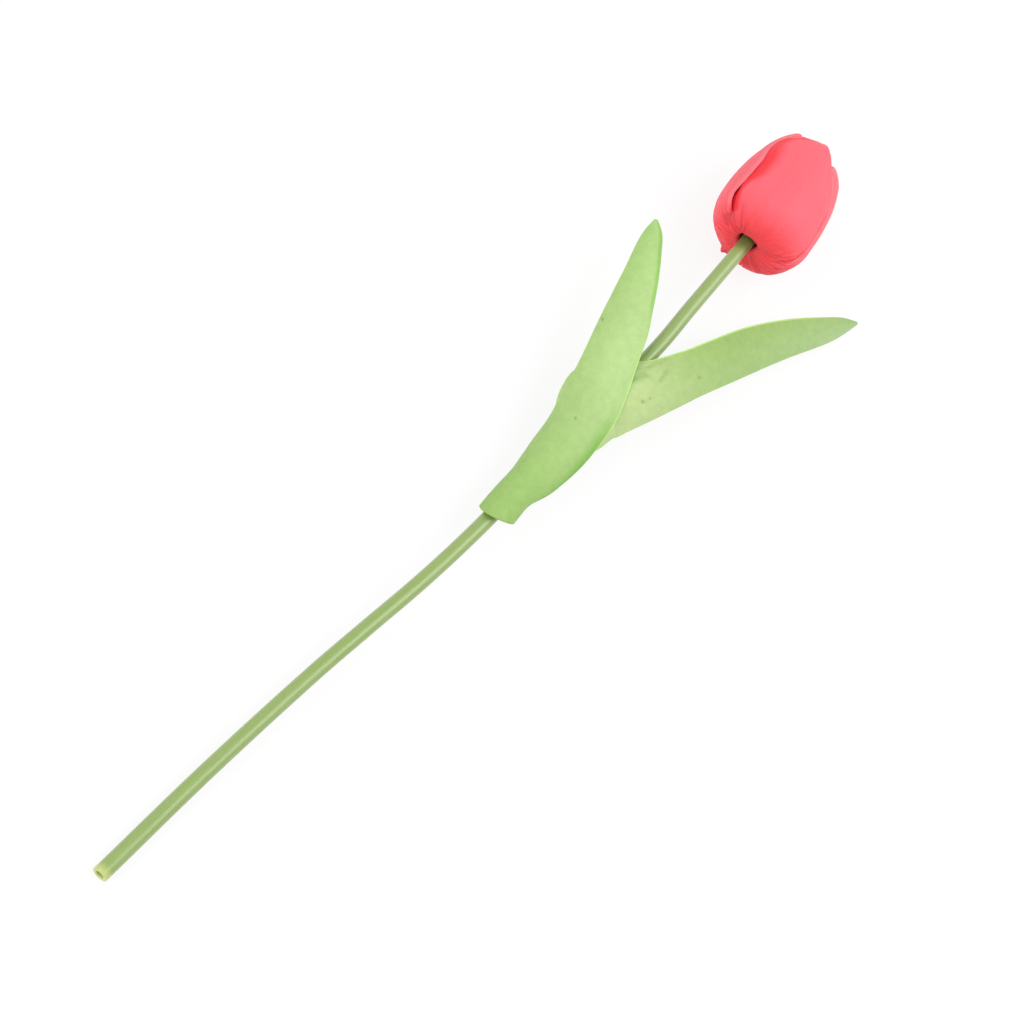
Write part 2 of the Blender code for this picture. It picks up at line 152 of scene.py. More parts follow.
lens = bpy.data.cameras.new("camera")
lens.sensor_width = SENSOR
lens.lens = FOCAL_PIXELS / PICTURE_PIXELS * SENSOR
camera = bpy.data.objects.new("camera", lens)
bpy.context.scene.collection.objects.link(camera)
camera.matrix_world = Matrix.Translation(Vector(VIEW_TARGET * MM) + back * VIEW_DISTANCE * MM) @ aim
bpy.context.scene.camera = camera
bpy.context.scene.view_settings.view_transform = "Standard"
print("camera at", [round(v, 3) for v in camera.matrix_world.translation], "lens", round(lens.lens, 1))

# %% [markdown]
# ## Thick sheets
#
# Petals and leaves are one thing five times over: a thin moulded sheet with a soft round rim. A
# Solidify modifier makes a sheet thick, but it leaves a square rim, and a Bevel on it would cut
# hundreds of small edges. Here the sheet is built at once from its grid of points. The inner face
# is the outer one moved in along its normals, and a strip of half circles joins the two round the
# border. Each point also remembers where it lies on the sheet, for the materials to read.

# %% Build a closed sheet from a grid of points
RIM_STEPS = 5  # faces round the half circle of a rim


def grid_normals(points):
    """Normals of a grid of points, away from the hollow side that each row bends round."""
    normals = unit(np.cross(np.gradient(points, axis=1), np.gradient(points, axis=0)))
    from_middle = points - points.mean(axis=1, keepdims=True)
    return normals * np.sign((normals * from_middle).sum())


def border(rows, columns):
    """Places round the edge of a grid, and the steps that point out of it at each."""
    places = [(0, j) for j in range(columns - 1)]
    places += [(i, columns - 1) for i in range(rows - 1)]
    places += [(rows - 1, j) for j in range(columns - 1, 0, -1)]
    places += [(i, 0) for i in range(rows - 1, 0, -1)]
    inside = [(min(max(i, 1), rows - 2), min(max(j, 1), columns - 2)) for i, j in places]
    return places, inside


def thick_sheet(name, points, thickness, millimetres, shares):
    """Makes a closed sheet from its outer face, with a rounded rim all the way round.

    millimetres and shares say where each point lies on the sheet: its distance across and along
    it and its distance to the nearest rim, then the same two distances as shares, and a third value
    for painted shade, and on the leaves dark specks, which the inner face doesn't get.
    """
    rows, columns = points.shape[:2]
    normals = grid_normals(points)
    inner = points - normals * thickness[..., None]
    vertices = [points.reshape(-1, 3), inner.reshape(-1, 3)]
    where = [millimetres.reshape(-1, 3)] * 2
    share = [shares.reshape(-1, 3), shares.reshape(-1, 3) * (1, 1, 0)]
    index = np.arange(rows * columns).reshape(rows, columns)
    cells = np.stack((index[:-1, :-1], index[1:, :-1], index[1:, 1:], index[:-1, 1:]), -1).reshape(-1, 4)
    faces = [cells, cells[:, ::-1] + rows * columns]

    places, inside = border(rows, columns)
    at, into = tuple(np.array(places).T), tuple(np.array(inside).T)
    middle = (points[at] + inner[at]) / 2
    half = np.linalg.norm(points[at] - inner[at], axis=1, keepdims=True) / 2
    out = points[at] - points[into]
    out = unit(out - normals[at] * (out * normals[at]).sum(axis=1, keepdims=True))
    loops = [index[at]]
    for step in range(1, RIM_STEPS):
        angle = pi * step / RIM_STEPS
        loops.append(np.arange(len(places)) + sum(len(block) for block in vertices))
        vertices.append(middle + half * (normals[at] * cos(angle) + out * sin(angle)))
        where.append(millimetres[at] * (1, 1, 0))
        share.append(shares[at])
    loops.append(index[at] + rows * columns)
    for near, far in zip(loops, loops[1:]):
        faces.append(np.stack((near, np.roll(near, -1), np.roll(far, -1), far), -1))

    piece = closed_piece(name, np.concatenate(vertices), np.concatenate(faces))
    for label, values in (("sheet_mm", where), ("sheet_share", share)):
        attribute = piece.data.attributes.new(label, "FLOAT_VECTOR", "POINT")
        attribute.data.foreach_set("vector", np.concatenate(values).astype(np.float32).ravel())
    return piece


def closed_piece(name, points, faces):
    """Makes a smooth object from a closed surface in millimetres, with its faces turned out."""
    mesh = bpy.data.meshes.new(name)
    mesh.from_pydata(points * MM, [], faces.tolist())
    mesh.calc_loop_triangles()
    corners = np.array([triangle.vertices for triangle in mesh.loop_triangles])
    a, b, c = (points[corners[:, k]] for k in range(3))
    volume = (a * np.cross(b, c)).sum() / 6
    if volume < 0:
        mesh.flip_normals()
    mesh.shade_smooth()
    mesh.update()
    piece = bpy.data.objects.new(name, mesh)
    bpy.context.scene.collection.objects.link(piece)
    print(name, "faces", len(mesh.polygons), "volume in mm3", round(abs(volume)))
    return piece


def unevenness(points, size, seed):
    """Smooth random heights between about -1 and 1, with bumps of the given size."""
    spots = points.reshape(-1, 3) / size + seed
    values = [noise.noise(Vector(spot)) for spot in spots.tolist()]
    return np.array(values).reshape(points.shape[:-1])


def sheet_places(points):
    """Distances in millimetres across, along and to the nearest rim for each point of a grid."""
    steps_along = np.linalg.norm(np.diff(points, axis=0), axis=2)
    along = np.vstack((np.zeros(points.shape[1]), np.cumsum(steps_along, axis=0)))
    steps_across = np.linalg.norm(np.diff(points, axis=1), axis=2)
    across = np.hstack((np.zeros((len(points), 1)), np.cumsum(steps_across, axis=1)))
    to_sides = np.minimum(across, across[:, -1:] - across)
    to_rim = np.minimum(to_sides, along[-1:] - along)
    middle = across - across[:, -1:] / 2
    return np.stack((middle, along, to_rim), axis=-1)


# %% [markdown]
# ## Colour and nodes
#
# Colours are written the way a paint chart or a photo editor gives them, as sRGB hex values, and
# one function turns them into the linear light that the renderer works in. Every material is
# built with one function that adds a node, fills in its settings and joins its inputs.

# %% Helpers for materials


def hex_colour(code):
    """Linear colour from an sRGB hex value."""
    values = [int(code[i:i + 2], 16) / 255 for i in (1, 3, 5)]
    linear = [v / 12.92 if v <= 0.04045 else ((v + 0.055) / 1.055) ** 2.4 for v in values]
    return (*linear, 1.0)


def first_output(node):
    """The first output that a node uses with its present settings."""
    return next(socket for socket in node.outputs if socket.enabled)


def add_node(material, kind, inputs=None, **settings):
    """Adds a node. Each input is linked to a socket or a node, or else it gets the value."""
    added = material.node_tree.nodes.new("ShaderNode" + kind)
    for name, value in settings.items():
        setattr(added, name, value)
    for name, value in (inputs or {}).items():
        if isinstance(value, bpy.types.Node):
            value = first_output(value)
        if isinstance(value, bpy.types.NodeSocket):
            material.node_tree.links.new(value, added.inputs[name])
        else:
            added.inputs[name].default_value = value
    return added


def new_material(name, roughness, specular=0.5, **sockets):
    """A material with one Principled shader, whose constant inputs are set on the shader."""
    material = bpy.data.materials.new(name)
    material.use_nodes = True
    shader = material.node_tree.nodes["Principled BSDF"]
    shader.inputs["Roughness"].default_value = roughness
    shader.inputs["Specular IOR Level"].default_value = specular
    for socket, value in sockets.items():
        shader.inputs[socket.replace("_", " ")].default_value = value
    return material, shader


def paint(material, shader, colour, height, depth):
    """Joins a colour and a bump of the given depth in millimetres to the shader."""
    bump = add_node(material, "Bump", {"Height": height, "Distance": depth * MM, "Strength": 1.0})
    material.node_tree.links.new(first_output(colour), shader.inputs["Base Color"])
    material.node_tree.links.new(first_output(bump), shader.inputs["Normal"])


def sheet_sockets(material):
    """A point's millimetres on its sheet, whole and split, its shares split, and its place."""
    places, shares = (
        add_node(material, "Attribute", attribute_name=label).outputs["Vector"]
        for label in ("sheet_mm", "sheet_share"))
    place, share = (
        add_node(material, "SeparateXYZ", {"Vector": whole}).outputs for whole in (places, shares))
    return places, place, share, add_node(material, "TexCoord").outputs["Object"]


# %% [markdown]
# ## The petals' foam
#
# The petals are soft polyurethane foam, pressed in a heated mould that gives them a closed skin,
# and dyed coral. The eye reads it by three things: no gloss at all, only a broad soft sheen, fine
# lengthwise veins pressed in by the mould, and a colour that deepens towards the foot. In the
# creases a deeper, more saturated red is painted in as shade and as the red light that bounces
# there, and a paler tint along the rims is a painted highlight on the rolled lips. The veins follow
# the petal, so they are drawn in the sheet's own millimetres: narrow across it and stretched along
# it.

# %% Polyurethane foam, dyed coral
VEIN_WIDTH = 0.9  # millimetres across a vein
VEIN_LENGTH = 22.0  # millimetres along it before it fades
FOAM_GRAIN = 0.35  # the skin's pores, drawn three times as coarse as real
DYE_CLOUD = 9.0  # millimetres across a patch where the dye is deeper
FOAM_SPECULAR = 0.35
RIM_HIGHLIGHT_SHARE = 0.3  # how far the painted highlight on a rim covers the dye


def petal_foam(name, pale, deep, foot, rim_highlight, crease_shade_colour, roughness):
    """Coral foam: pale mid-petal, deep low down, painted shade in creases, painted rim highlight."""
    material, shader = new_material(
        name, roughness, FOAM_SPECULAR, Subsurface_Weight=0.45,
        Subsurface_Radius=(1.0, 0.2, 0.15), Subsurface_Scale=2.5 * MM)
    places, place, share, local = sheet_sockets(material)
    stretched = add_node(material, "VectorMath", {
        0: places, 1: (1 / VEIN_WIDTH, 1 / VEIN_LENGTH, 0.0)}, operation="MULTIPLY")
    veins = add_node(material, "TexNoise", {
        "Vector": stretched, "Scale": 1.0, "Detail": 3.0, "Roughness": 0.6})
    clouds = add_node(material, "TexNoise", {
        "Vector": local, "Scale": 1 / (DYE_CLOUD * MM), "Detail": 2.0, "Roughness": 0.5})
    pores = add_node(material, "TexNoise", {
        "Vector": local, "Scale": 1 / (FOAM_GRAIN * MM), "Detail": 1.0, "Roughness": 0.5})

    # What each mask reads, where it starts, where it is full and how strong it is there.
    rise, at_foot, off_foot, near_rim = (
        add_node(material, "MapRange", {
            "Value": value, "From Min": start, "From Max": full, "To Max": most},
            interpolation_type="SMOOTHSTEP")
        for value, start, full, most in (
            (share["Y"], 0.08, 0.30, 1.0), (share["Y"], 0.10, 0.02, 1.0),
            (share["Y"], 0.16, 0.26, 1.0), (place["Z"], 2.4, 0.3, RIM_HIGHLIGHT_SHARE)))
    # A painted highlight along the rolled rims, kept off the foot.
    rim_highlight_mask = add_node(material, "Math", {0: near_rim, 1: off_foot}, operation="MULTIPLY")
    colour = hex_colour(deep)
    # The last two layers are painted light: a highlight on the rims and shade in the creases.
    for amount, layer in ((rise, pale), (at_foot, foot), (rim_highlight_mask, rim_highlight), (share["Z"], crease_shade_colour)):
        colour = add_node(material, "Mix", {
            0: amount, 6: colour, 7: hex_colour(layer)}, data_type="RGBA")
    vein_tone, cloud_tone = (
        add_node(material, "MapRange", {
            "Value": value, "From Min": low, "From Max": high, "To Min": dark, "To Max": light})
        for value, low, high, dark, light in (
            (veins, 0.35, 0.65, 0.94, 1.03), (clouds, 0.3, 0.7, 0.975, 1.015)))
    tone = add_node(material, "Math", {0: vein_tone, 1: cloud_tone}, operation="MULTIPLY")
    toned = add_node(material, "VectorMath", {0: colour, "Scale": tone}, operation="SCALE")
    relief = add_node(material, "Math", {0: pores, 1: 0.25, 2: veins}, operation="MULTIPLY_ADD")
    paint(material, shader, toned, relief, 0.10)
    return material


# After the foot's colour: a painted highlight for the rims, then painted shade for the creases.
coral_foam = petal_foam(
    "polyurethane foam, coral", "#FA6571", "#FF464F", "#FB464B", "#FF98A2", "#FF2B38", 0.62)
deep_foam = petal_foam(
    "polyurethane foam, deep coral", "#F04452", "#E6363F", "#B5312F", "#F46470", "#FE2C3A", 0.66)

# %% [markdown]
# ## The bud
#
# A tulip has two whorls of three petals. The outer three lap over each other: the front one is
# tucked under both of its neighbours, the right one lies over it and under the left one, and the
# left one lies over both. A petal could be sculpted, or cut from a shell. Here each is a turned
# profile read along its length, and it is spread out as far as the rims where it meets the next
# ones, so that the three share one shape and still lap as the real ones do. At the very foot the
# front petal comes out over the left one, because they are glued together there, and the skin is
# gathered into short wrinkles round the stem.

# %% The petals' shared shape
OUTER_PROFILE = (  # share of the way up the petal, radius, height
    (0.00, 3.0, 1.7), (0.022, 3.4, 0.6), (0.05, 4.9, 0.15), (0.11, 9.1, 0.35), (0.19, 13.4, 2.8),
    (0.29, 16.7, 8.4), (0.41, 17.3, 15.9), (0.52, 16.9, 23.0), (0.64, 15.9, 30.4),
    (0.76, 14.0, 37.4), (0.88, 11.7, 43.2), (0.95, 9.4, 45.8), (1.00, 7.0, 47.2),
)
INNER_PROFILE = (
    (0.00, 6.8, 5.3), (0.15, 10.9, 9.5), (0.32, 13.6, 17.0), (0.47, 13.2, 24.2),
    (0.62, 12.0, 31.3), (0.77, 10.1, 37.4), (0.90, 6.6, 42.6), (1.00, 2.2, 45.4),
)
# Share of the way up, and the turn round the bud in degrees at which two petals meet.
FRONT_TO_LEFT = (
    (0.00, -30), (0.05, -40), (0.09, -54), (0.16, -66), (0.23, -66.5), (0.28, -64.5),
    (0.32, -60.5), (0.38, -57), (0.46, -55), (0.53, -55.2), (0.61, -59), (0.71, -64.5),
    (0.76, -64.5), (0.79, -59), (0.815, -51.5), (0.84, -44), (0.87, -37.5), (0.92, -34), (1.0, -33),
)
FRONT_TO_RIGHT = (
    (0.00, 66), (0.10, 71), (0.157, 79.5), (0.208, 79), (0.25, 73), (0.30, 67), (0.37, 63),
    (0.45, 60.5), (0.52, 57.0), (0.57, 50.5), (0.61, 43), (0.65, 36), (0.70, 29.5), (0.76, 23.7),
    (0.83, 18), (1.0, 15),
)
RIGHT_TO_LEFT = (
    (0.00, 187), (0.16, 190), (0.27, 188), (0.36, 182), (0.5, 178), (0.65, 180), (0.8, 188),
    (1.0, 195),
)
# Place across the petal, from one rim to the other, and the share of the way up where it ends.
PETAL_TOPS = {
    "front": (
        (-1.0, 0.86), (-0.9, 0.875), (-0.76, 0.87), (-0.6, 0.85), (-0.43, 0.852), (-0.26, 0.865),
        (-0.1, 0.894), (-0.02, 0.895), (0.1, 0.884), (0.23, 0.864), (0.5, 0.822), (0.75, 0.78),
        (1.0, 0.74),
    ),
    "right": (
        (-1.0, 0.758), (-0.88, 0.762), (-0.76, 0.758), (-0.65, 0.756), (-0.53, 0.80),
        (-0.36, 0.89), (0.0, 0.97), (0.58, 0.93), (0.85, 0.88), (1.0, 0.84),
    ),
    "left": (
        (-1.0, 0.84), (-0.85, 0.88), (-0.65, 0.93), (0.0, 0.97), (0.29, 0.93), (0.49, 0.892),
        (0.69, 0.875), (0.87, 0.87), (1.0, 0.86),
    ),
}
PETAL_TURNS = {"front": 7.0, "right": 127.0, "left": 247.0}
LAP_UNDER = 11.0  # degrees that a petal goes on beneath the next one
OUTER_THICKNESS = 1.2
INNER_THICKNESS = 1.0
PETAL_RIM_SHARE = 0.35  # thickness of a rim, as a share of the petal's
PETAL_TAPER = 3.0  # millimetres from the rim to where a petal is as thick as elsewhere
PETAL_ROWS = 150
PETAL_CROWDING = 1.25  # above 1 the rows lie closer together towards the tip
OUTER_COLUMNS = 140
INNER_COLUMNS = 48
DENT_DEPTH = 0.12
DENT_SIZE = 11.0
DIP = 1.65  # how deep a petal passes beneath the next one
DUCK_SPAN = (-0.4, 1.5)  # millimetres before and past the rim that lies over it
LIP_FLARE = 0.25
FLARE_SPAN = (-5.0, -1.5)
LIP_ROLL = 0.45  # how far a rim rolls in again at its very edge
ROLL_SPAN = (-1.1, 0.0)
GLUED = (0.13, 0.19)  # shares between which the petals come apart
PRESSED_IN = 0.7  # how deep a rim sinks where the petals are glued
PRESSED_SPAN = (-2.0, 0.0)
SLIT_SHARES = (0.155, 0.20, 0.25, 0.36)  # shares where a slit opens, is full, and closes
# How two petals meet: the depth of the valley beside the rim that lies over, where it starts and
# ends in millimetres, how wide its painted shade is, the width of the slit in degrees and the
# share from which the two lie so snug that the valley is gone, or 2 where they never do.
LEFT_SEAM = (0.65, -6.0, -0.6, 8.0, 6.8, 2.0)
RIGHT_SEAM = (0.45, -3.0, -0.4, 3.2, 0.8, 0.42)
SNUG_SPREAD = 0.12
SLIT_SHADE_WIDTH = 2.3  # width of the painted shade at the height of the slit, before it widens
CREASE_SHADE_WIDENS = (0.30, 0.42)
# Places where the moulded bud is fuller or flatter than its profile: turn, share, their spreads
# and the height. The last one is a nib of foam that the press squeezed out below.
SWELLS = (
    (130, 0.20, 45, 0.07, 0.5), (-90, 0.45, 25, 0.22, 0.3), (75, 0.38, 15, 0.08, -0.2),
    (-138, 0.15, 22, 0.06, -1.1), (-157, 0.175, 4, 0.02, 1.4),
)
INNER_TIP = (0.60, 2.5, 6.0)  # where a petal narrows, its squareness, its tip's reach
INNER_REACH = 55.0
CENTRED = (3.6, 9.5)  # radii between which the foot leaves the stem's centre
WRINKLE_DEPTH = 0.8
WRINKLE_SHADE = 0.7  # how much painted shade a wrinkle's bottom gets, as a share of a valley's
WRINKLE_SPAN = (0.035, 0.08, 0.16, 0.27)  # shares where the wrinkles start, are full, and end
WRINKLE_TURN = 5.5  # degrees round the stem over which a wrinkle comes and goes
WRINKLE_WIDTH = 0.22
SMOOTH_FRONT = (0.75, 55)  # how much weaker they are at the front, and for how many degrees
FLUTE_DEPTH = 0.07


def narrowed(reach, share, tip):
    """Narrows a petal's reach along a rounded outline, down to the width of its tip."""
    start, power, tip_reach = tip
    beyond = np.clip((share - start) / (1 - start), 0.0, 1.0)
    return np.maximum(reach * (1 - beyond**power) ** (1 / power), tip_reach)


def stem_aside(heights):
    """How far the stem's centre lies from the bud's axis, at heights over the bud's foot."""
    inside = np.clip(heights, 0.0, 6.0).ravel()
    centres = stem_points(BUD_ALONG + inside * bud_axis[0])
    aside = centres - bud_foot - bud_axis * inside[:, None]
    return aside.reshape(heights.shape + (3,))


def on_bud(turns, radii, heights):
    """Points round the bud's axis, from angles in degrees, as places in the flower's frame."""
    angles = np.radians(turns)
    sideways = bud_upper * np.cos(angles)[..., None] + bud_right * np.sin(angles)[..., None]
    points = bud_foot + sideways * radii[..., None] + bud_axis * heights[..., None]
    return points + (1 - ease(radii, *CENTRED))[..., None] * stem_aside(heights)


def profile_at(profile, share):
    """Radius and height of a petal's profile at each share of the way up."""
    return through(profile, share.ravel()).T.reshape((2, *share.shape))


def profile_run(share):
    """The way the outer petals' profile runs at each share: outwards and up, as one unit."""
    ahead = profile_at(OUTER_PROFILE, np.minimum(share + 0.01, 1.0))
    run = ahead - profile_at(OUTER_PROFILE, np.maximum(share - 0.01, 0.0))
    return run / np.linalg.norm(run, axis=0)


def swells(turns, share):
    """How far the bud stands out from its turned profile, or falls short of it."""
    total = np.zeros(share.shape)
    for turn, at, turn_spread, share_spread, height in SWELLS:
        aside = ((turns - turn + 180) % 360 - 180) / turn_spread
        total += height * np.exp(-aside**2 - ((share - at) / share_spread) ** 2)
    return total


def wrinkles(turns, share):
    """Short folds that run out from the stem at the foot of the bud."""
    start, full, fade, end = WRINKLE_SPAN
    strength = ease(share, start, full) * (1 - ease(share, fade, end))
    from_front = (turns - PETAL_TURNS["front"] + 180) % 360 - 180
    weaker, half_width = SMOOTH_FRONT
    strength = strength * (1 - weaker * np.exp(-((from_front / half_width) ** 4)))
    spots = np.stack((turns / WRINKLE_TURN, share * 5.0, np.zeros_like(turns)), axis=-1)
    folds = 1 - np.clip(np.abs(unevenness(spots, 1.0, 4.7)) / WRINKLE_WIDTH, 0.0, 1.0)
    return -WRINKLE_DEPTH * strength * folds**2


def flutes(across, share):
    """Shallow lengthwise ridges that the mould leaves on a petal."""
    ridges = np.cos(across * 9.0) + 0.6 * np.cos(across * 23.0 + 1.1)
    return FLUTE_DEPTH * ridges * ease(share, 0.12, 0.3) * (1 - ease(share, 0.8, 1.0))


def finish_petal(name, points, share, crease_shade, thickness, material, seed):
    """Roughens a petal's grid a little, thickens it and fastens it to the flower."""
    places = sheet_places(points)
    dents = DENT_DEPTH * unevenness(points, DENT_SIZE, seed)
    points = points + grid_normals(points) * dents[..., None]
    across = np.linspace(-1, 1, points.shape[1]) * np.ones((len(points), 1))
    # The third share is the painted shade that the material reads.
    shares = np.stack((across, share, crease_shade), axis=-1)
    full = PETAL_RIM_SHARE + (1 - PETAL_RIM_SHARE) * ease(places[..., 2], 0.0, PETAL_TAPER)
    piece = thick_sheet(name, points, thickness * full, places, shares)
    piece.data.materials.append(material)
    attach(piece, "flower")
    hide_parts(name)


# %% Build the three outer petals


def flank(share, radius, portion, middle, meeting, seam, over, swaps):
    """One flank of a petal: how far round it reaches, how it rises or dips, and its painted shade.

    over is 1 where this petal lies over the next one and 0 where it is beneath. swaps is true for
    the pair that changes places at the glued foot.
    """
    valley, valley_start, valley_end, crease_shade_width, slit, snug_from = seam
    apart = ease(share, *GLUED)
    snug = ease(share, snug_from, snug_from + SNUG_SPREAD)
    if swaps:
        over = over * apart + (1 - over) * (1 - apart)
    meets = through(meeting, share.ravel()).reshape(share.shape)
    reach = np.abs((meets - middle + 180) % 360 - 180)
    turn = portion * (reach + LAP_UNDER * (1 - over))
    opens, full, fades, closed = SLIT_SHARES
    clear = slit * ease(share, opens, full) * (1 - ease(share, fades, closed)) * (1 - over)
    beyond = np.radians(turn - reach + clear) * radius
    valley = valley * (1 - snug)
    dip = -valley * ease(beyond, valley_start, valley_end) - (DIP - valley) * ease(beyond, *DUCK_SPAN)
    lip = LIP_FLARE * ease(beyond, *FLARE_SPAN) - LIP_ROLL * ease(beyond, *ROLL_SPAN)
    pressed = -PRESSED_IN * ease(beyond, *PRESSED_SPAN)
    lip = lip * apart + pressed * (1 - apart) * (not swaps)
    crease_shade_width = SLIT_SHADE_WIDTH + (crease_shade_width - SLIT_SHADE_WIDTH) * ease(share, *CREASE_SHADE_WIDENS)
    # Painted shade, with the red light bounced there, in the valley beside a rim that lies over.
    crease_shade = (1 - over) * ease(beyond / crease_shade_width, -1.0, -0.3) * apart * (1 - snug)
    return turn, lip * over + dip * (1 - over), crease_shade


def outer_petal(name, before, after, seed):
    """One outer petal. Each of its flanks lies over or dips beneath the petal beside it."""
    middle = PETAL_TURNS[name]
    across = np.linspace(1, -1, OUTER_COLUMNS + 1)
    tops = through(PETAL_TOPS[name], across)[:, 0]
    rows = np.linspace(0, 1, PETAL_ROWS + 1)[:, None]
    share = (1 - (1 - rows) ** PETAL_CROWDING) * tops[None, :]
    across = across + 0 * share
    radius, height = profile_at(OUTER_PROFILE, share)
    portion = np.abs(across)
    turn_before, shift_before, crease_shade_before = flank(share, radius, portion, middle, *before)
    turn_after, shift_after, crease_shade_after = flank(share, radius, portion, middle, *after)
    turns = middle + np.where(across > 0, turn_after, -turn_before)
    shift = np.where(across > 0, shift_after, shift_before)
    gathers = wrinkles(turns, share)
    shift = shift + gathers + flutes(across, share) + swells(turns, share)
    crease_shade = np.where(across > 0, crease_shade_after, crease_shade_before)
    # The bottom of a wrinkle gets painted shade as well.
    crease_shade = np.maximum(crease_shade, -gathers / WRINKLE_DEPTH * WRINKLE_SHADE)
    outwards, up = profile_run(share)
    points = on_bud(turns, radius + shift * up, height - shift * outwards)
    full_name = "outer_petal_" + name
    finish_petal(full_name, points, share, crease_shade, OUTER_THICKNESS, coral_foam, seed)


front_left = (FRONT_TO_LEFT, LEFT_SEAM)
front_right = (FRONT_TO_RIGHT, RIGHT_SEAM)
right_left = (RIGHT_TO_LEFT, RIGHT_SEAM)
outer_petal("front", (*front_left, 0.0, True), (*front_right, 0.0, False), 0.3)
outer_petal("right", (*front_right, 1.0, False), (*right_left, 0.0, False), 5.1)
outer_petal("left", (*right_left, 1.0, False), (*front_left, 1.0, True), 9.4)

# %% [markdown]
# ## The inner petals
#
# Three smaller petals fill the bud behind the gaps of the outer ones. Little of them shows, only
# their tips where the bud closes and a dark red glimpse behind a lip, so they are the same kind
# of sheet with fewer points.

# %% Build the three inner petals


def inner_petal(name, middle, seed):
    """One inner petal, which stands alone inside the outer ones."""
    share = 1 - (1 - np.linspace(0, 1, PETAL_ROWS // 2 + 1)[:, None]) ** PETAL_CROWDING
    across = np.linspace(1, -1, INNER_COLUMNS + 1)[None, :]
    share, across = share + 0 * across, across + 0 * share
    radius, height = profile_at(INNER_PROFILE, share)
    turns = middle + across * narrowed(INNER_REACH, share, INNER_TIP)
    points = on_bud(turns, radius + flutes(across, share), height)
    finish_petal(name, points, share, 0 * share, INNER_THICKNESS, deep_foam, seed)


inner_petal("inner_petal_right", 67, 2.2)
inner_petal("inner_petal_back", 187, 6.8)
inner_petal("inner_petal_left", 307, 11.5)

# %% [markdown]
# ## The leaves' foam
#
# The leaves are the same foam, dyed yellow-green before pressing, with their own tones at the
# sleeve and the tip. Shade is painted on down the right flank, along the right edge near the tip
# and over the left half of the blade. Their skin is rougher: it has open pits like a fine sponge,
# painted a little darker as shade, a mottled tone, creases with painted shade, dark specks, and
# on one side a painted highlight, a pale line along the rim.

# %% Polyurethane foam, dyed leaf green
MOTTLE_SIZE = 2.6  # millimetres across a patch of deeper dye
PIT_SIZE = 0.9  # millimetres between pits
SPRAY_CLOUD = 24.0  # millimetres across a patch where the spray is thinner
RIM_HIGHLIGHT_WIDTH = 0.5  # millimetres of painted highlight at a rim
EDGE_SHADE = 0.7  # painted shade on the right edge near the tip, as a share of the flank's
CREASE_SHADE_AND_SPECKS = "#6A8F4C"  # painted shade of creases and ridges and beside a ridge, and the dark of specks


